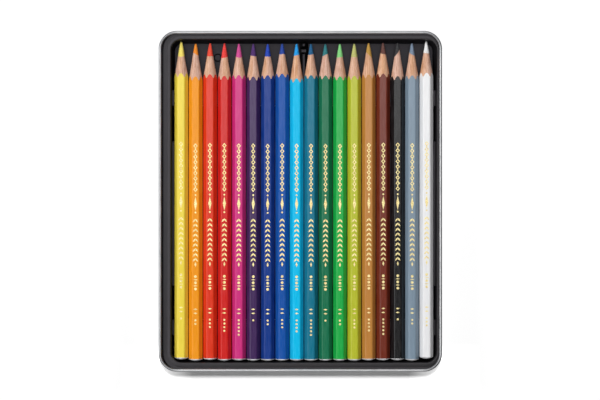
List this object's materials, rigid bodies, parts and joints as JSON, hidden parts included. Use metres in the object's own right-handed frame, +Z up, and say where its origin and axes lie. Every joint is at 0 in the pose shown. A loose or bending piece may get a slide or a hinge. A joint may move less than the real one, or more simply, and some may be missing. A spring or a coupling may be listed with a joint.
{
  "type": "coloured pencil tin",
  "caption": "Shallow drawn tin with a rolled rim and a black formed tray that holds a row of sharpened hexagonal coloured pencils, each of which lifts out.",
  "frame": {"origin": "middle of the tin's footprint, on the surface it stands on", "axes": "+Z up out of the open tin, +Y along the pencils towards their points, +X across the row from the yellow pencil to the white one"},
  "size_m": [0.1558, 0.1874, 0.0125],
  "materials": {
    "tinplate": "satin tinplate",
    "tray_plastic": "satin black formed sheet",
    "yellow_lacquer": "gloss lacquer on cedar",
    "orange_lacquer": "gloss lacquer on cedar",
    "vermilion_lacquer": "gloss lacquer on cedar",
    "red_lacquer": "gloss lacquer on cedar",
    "magenta_lacquer": "gloss lacquer on cedar",
    "violet_lacquer": "gloss lacquer on cedar",
    "navy_lacquer": "gloss lacquer on cedar",
    "blue_lacquer": "gloss lacquer on cedar",
    "sky_blue_lacquer": "gloss lacquer on cedar",
    "petrol_lacquer": "gloss lacquer on cedar",
    "pine_lacquer": "gloss lacquer on cedar",
    "green_lacquer": "gloss lacquer on cedar",
    "lime_lacquer": "gloss lacquer on cedar",
    "ochre_lacquer": "gloss lacquer on cedar",
    "brown_lacquer": "gloss lacquer on cedar",
    "black_lacquer": "gloss lacquer on cedar",
    "grey_lacquer": "gloss lacquer on cedar",
    "white_lacquer": "gloss lacquer on cedar",
    "yellow_pigment": "waxy pigment",
    "orange_pigment": "waxy pigment",
    "vermilion_pigment": "waxy pigment",
    "red_pigment": "waxy pigment",
    "magenta_pigment": "waxy pigment",
    "violet_pigment": "waxy pigment",
    "navy_pigment": "waxy pigment",
    "blue_pigment": "waxy pigment",
    "sky_blue_pigment": "waxy pigment",
    "petrol_pigment": "waxy pigment",
    "pine_pigment": "waxy pigment",
    "green_pigment": "waxy pigment",
    "lime_pigment": "waxy pigment",
    "ochre_pigment": "waxy pigment",
    "brown_pigment": "waxy pigment",
    "black_pigment": "waxy pigment",
    "grey_pigment": "waxy pigment",
    "white_pigment": "waxy pigment"
  },
  "bodies": {
    "tin": {"tin_base": "tinplate", "pencil_tray": "tray_plastic"},
    "yellow_pencil": {"yellow_casing": "yellow_lacquer", "yellow_core": "yellow_pigment"},
    "orange_pencil": {"orange_casing": "orange_lacquer", "orange_core": "orange_pigment"},
    "vermilion_pencil": {"vermilion_casing": "vermilion_lacquer", "vermilion_core": "vermilion_pigment"},
    "red_pencil": {"red_casing": "red_lacquer", "red_core": "red_pigment"},
    "magenta_pencil": {"magenta_casing": "magenta_lacquer", "magenta_core": "magenta_pigment"},
    "violet_pencil": {"violet_casing": "violet_lacquer", "violet_core": "violet_pigment"},
    "navy_pencil": {"navy_casing": "navy_lacquer", "navy_core": "navy_pigment"},
    "blue_pencil": {"blue_casing": "blue_lacquer", "blue_core": "blue_pigment"},
    "sky_blue_pencil": {"sky_blue_casing": "sky_blue_lacquer", "sky_blue_core": "sky_blue_pigment"},
    "petrol_pencil": {"petrol_casing": "petrol_lacquer", "petrol_core": "petrol_pigment"},
    "pine_pencil": {"pine_casing": "pine_lacquer", "pine_core": "pine_pigment"},
    "green_pencil": {"green_casing": "green_lacquer", "green_core": "green_pigment"},
    "lime_pencil": {"lime_casing": "lime_lacquer", "lime_core": "lime_pigment"},
    "ochre_pencil": {"ochre_casing": "ochre_lacquer", "ochre_core": "ochre_pigment"},
    "brown_pencil": {"brown_casing": "brown_lacquer", "brown_core": "brown_pigment"},
    "black_pencil": {"black_casing": "black_lacquer", "black_core": "black_pigment"},
    "grey_pencil": {"grey_casing": "grey_lacquer", "grey_core": "grey_pigment"},
    "white_pencil": {"white_casing": "white_lacquer", "white_core": "white_pigment"}
  },
  "joints": [
    {"name": "yellow_lift", "type": "slide", "parent": "tin", "child": "yellow_pencil", "axis": [0, 0, 1], "range_m": [0, 0.03]},
    {"name": "orange_lift", "type": "slide", "parent": "tin", "child": "orange_pencil", "axis": [0, 0, 1], "range_m": [0, 0.03]},
    {"name": "vermilion_lift", "type": "slide", "parent": "tin", "child": "vermilion_pencil", "axis": [0, 0, 1], "range_m": [0, 0.03]},
    {"name": "red_lift", "type": "slide", "parent": "tin", "child": "red_pencil", "axis": [0, 0, 1], "range_m": [0, 0.03]},
    {"name": "magenta_lift", "type": "slide", "parent": "tin", "child": "magenta_pencil", "axis": [0, 0, 1], "range_m": [0, 0.03]},
    {"name": "violet_lift", "type": "slide", "parent": "tin", "child": "violet_pencil", "axis": [0, 0, 1], "range_m": [0, 0.03]},
    {"name": "navy_lift", "type": "slide", "parent": "tin", "child": "navy_pencil", "axis": [0, 0, 1], "range_m": [0, 0.03]},
    {"name": "blue_lift", "type": "slide", "parent": "tin", "child": "blue_pencil", "axis": [0, 0, 1], "range_m": [0, 0.03]},
    {"name": "sky_blue_lift", "type": "slide", "parent": "tin", "child": "sky_blue_pencil", "axis": [0, 0, 1], "range_m": [0, 0.03]},
    {"name": "petrol_lift", "type": "slide", "parent": "tin", "child": "petrol_pencil", "axis": [0, 0, 1], "range_m": [0, 0.03]},
    {"name": "pine_lift", "type": "slide", "parent": "tin", "child": "pine_pencil", "axis": [0, 0, 1], "range_m": [0, 0.03]},
    {"name": "green_lift", "type": "slide", "parent": "tin", "child": "green_pencil", "axis": [0, 0, 1], "range_m": [0, 0.03]},
    {"name": "lime_lift", "type": "slide", "parent": "tin", "child": "lime_pencil", "axis": [0, 0, 1], "range_m": [0, 0.03]},
    {"name": "ochre_lift", "type": "slide", "parent": "tin", "child": "ochre_pencil", "axis": [0, 0, 1], "range_m": [0, 0.03]},
    {"name": "brown_lift", "type": "slide", "parent": "tin", "child": "brown_pencil", "axis": [0, 0, 1], "range_m": [0, 0.03]},
    {"name": "black_lift", "type": "slide", "parent": "tin", "child": "black_pencil", "axis": [0, 0, 1], "range_m": [0, 0.03]},
    {"name": "grey_lift", "type": "slide", "parent": "tin", "child": "grey_pencil", "axis": [0, 0, 1], "range_m": [0, 0.03]},
    {"name": "white_lift", "type": "slide", "parent": "tin", "child": "white_pencil", "axis": [0, 0, 1], "range_m": [0, 0.03]}
  ]
}
